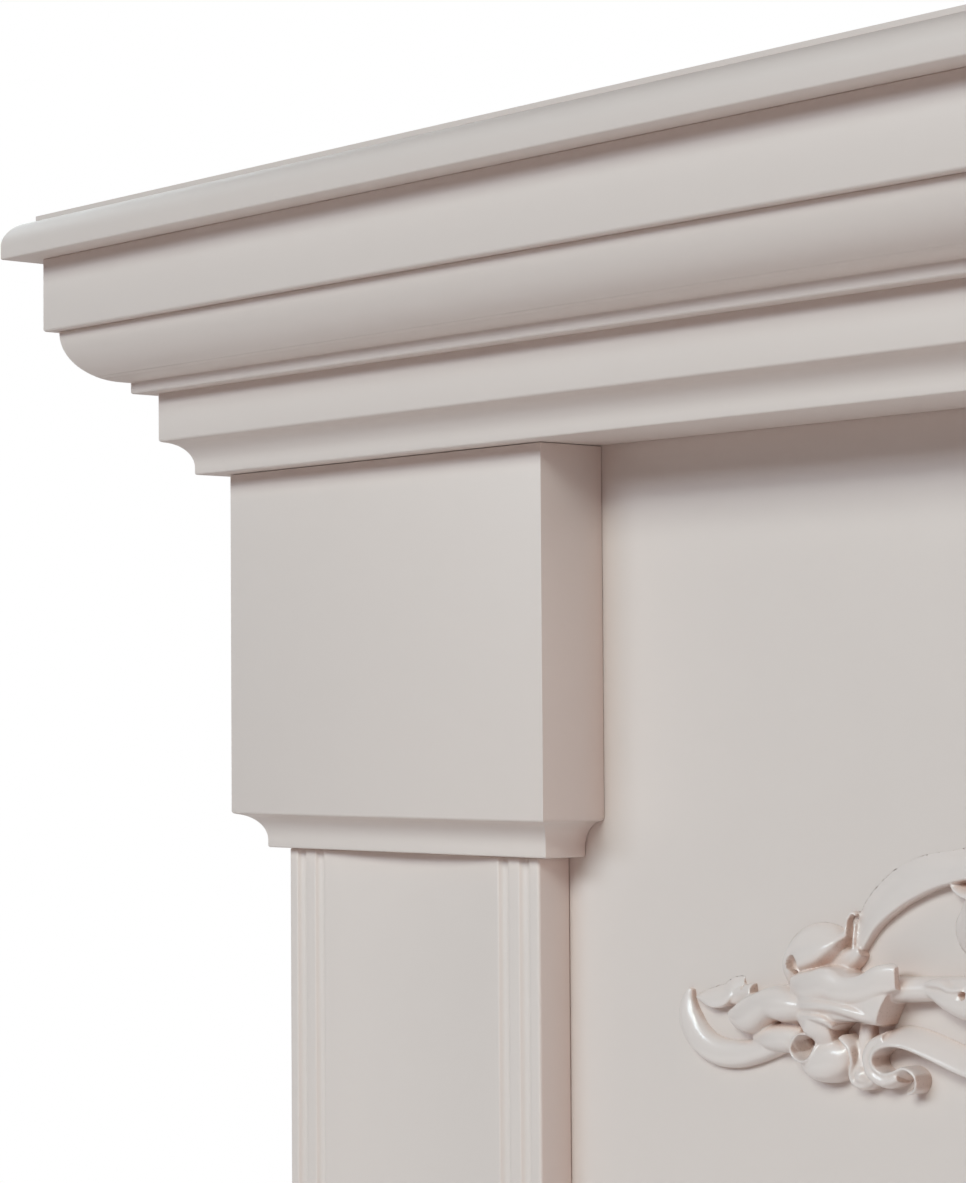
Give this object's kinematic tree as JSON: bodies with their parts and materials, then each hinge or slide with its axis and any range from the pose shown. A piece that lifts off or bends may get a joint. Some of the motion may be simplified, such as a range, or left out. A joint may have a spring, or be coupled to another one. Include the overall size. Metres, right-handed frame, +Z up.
{
  "type": "fireplace mantelpiece",
  "caption": "Painted fireplace mantelpiece with a stepped moulded cornice shelf, coved head blocks, fluted pilasters and a carved scroll ornament on its front panel.",
  "frame": {"origin": "On the floor, in the middle of the width and of the depth of the whole mantelpiece", "axes": "+X across the mantelpiece to the viewer's right, +Y from the room to the wall, +Z up"},
  "size_m": [1.1464, 0.222, 1],
  "materials": {
    "painted_board": "satin cream paint",
    "painted_carving": "glossy cream paint"
  },
  "bodies": {
    "root": {"shelf": "painted_board", "fascia_front": "painted_board", "fascia_left_return": "painted_board", "fascia_right_return": "painted_board", "ovolo_moulding_front": "painted_board", "ovolo_moulding_left_return": "painted_board", "ovolo_moulding_right_return": "painted_board", "bed_moulding_front": "painted_board", "bed_moulding_left_return": "painted_board", "bed_moulding_right_return": "painted_board", "breast_panel": "painted_board", "left_side_return": "painted_board", "right_side_return": "painted_board", "left_head_block": "painted_board", "right_head_block": "painted_board", "left_head_block_return": "painted_board", "right_head_block_return": "painted_board", "left_pilaster": "painted_board", "right_pilaster": "painted_board", "left_foot_block": "painted_board", "right_foot_block": "painted_board", "left_foot_return": "painted_board", "right_foot_return": "painted_board", "carved_ornament": "painted_carving"}
  },
  "joints": []
}
